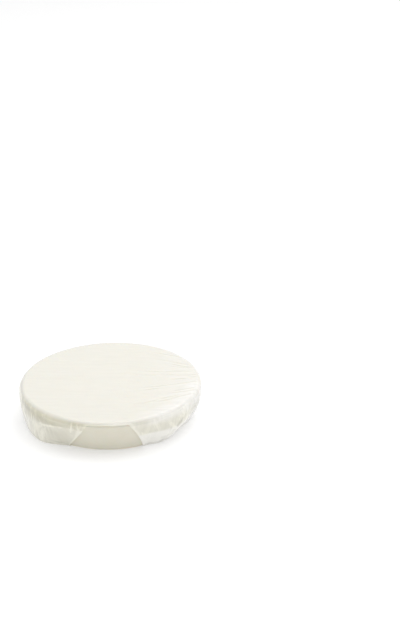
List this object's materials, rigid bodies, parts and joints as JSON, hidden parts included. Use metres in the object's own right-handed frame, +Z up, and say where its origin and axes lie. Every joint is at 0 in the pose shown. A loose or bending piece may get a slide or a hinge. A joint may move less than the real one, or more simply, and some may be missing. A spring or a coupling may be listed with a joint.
{
  "type": "shaving soap puck",
  "caption": "Round, shallow cake of cream shaving soap, wider at the top, in a clear shrink film sleeve that leaves bare windows at front and back.",
  "frame": {"origin": "on the cake's axis, in the flat plane of the film's underside that the puck rests on", "axes": "+Z up through the top face, +Y from the front window to the back window along the film tube, +X to the right, the side where the film's foot hangs closer to the cake"},
  "size_m": [0.09, 0.089, 0.0198],
  "materials": {
    "soap": "satin",
    "clear_film": "gloss"
  },
  "bodies": {
    "root": {"soap_cake": "soap", "shrink_film": "clear_film"}
  },
  "joints": []
}
